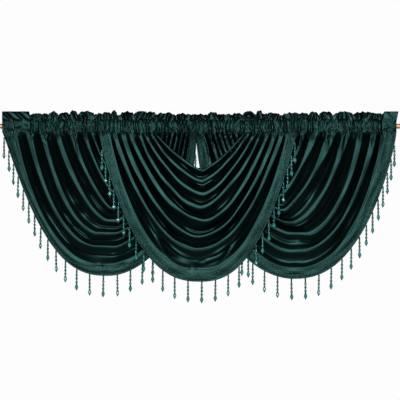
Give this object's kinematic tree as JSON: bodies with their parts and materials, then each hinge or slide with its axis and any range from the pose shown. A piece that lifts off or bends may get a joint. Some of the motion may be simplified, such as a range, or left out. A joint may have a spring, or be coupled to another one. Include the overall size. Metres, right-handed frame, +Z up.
{
  "type": "rod pocket swag valances on a curtain rod",
  "caption": "Waterfall swag valances of dark green satin with ruffled rod-pocket headings, nested hanging folds and bead fringes, gathered on a plain curtain rod.",
  "frame": {"origin": "middle of the rod's axis", "axes": "+X along the rod to the viewer's right, -Y out of the front towards the viewer, +Z up"},
  "size_m": [2.1, 0.0946, 0.9534],
  "materials": {
    "rod": "copper-brown, satin gloss",
    "satin": "dark green satin with a soft sheen",
    "beads": "faceted teal beads on thread"
  },
  "bodies": {
    "root": {"rod": "rod", "swag_left": "satin", "bead_fringe_left": "beads", "swag_centre": "satin", "bead_fringe_centre": "beads", "swag_right": "satin", "bead_fringe_right": "beads"}
  },
  "joints": []
}
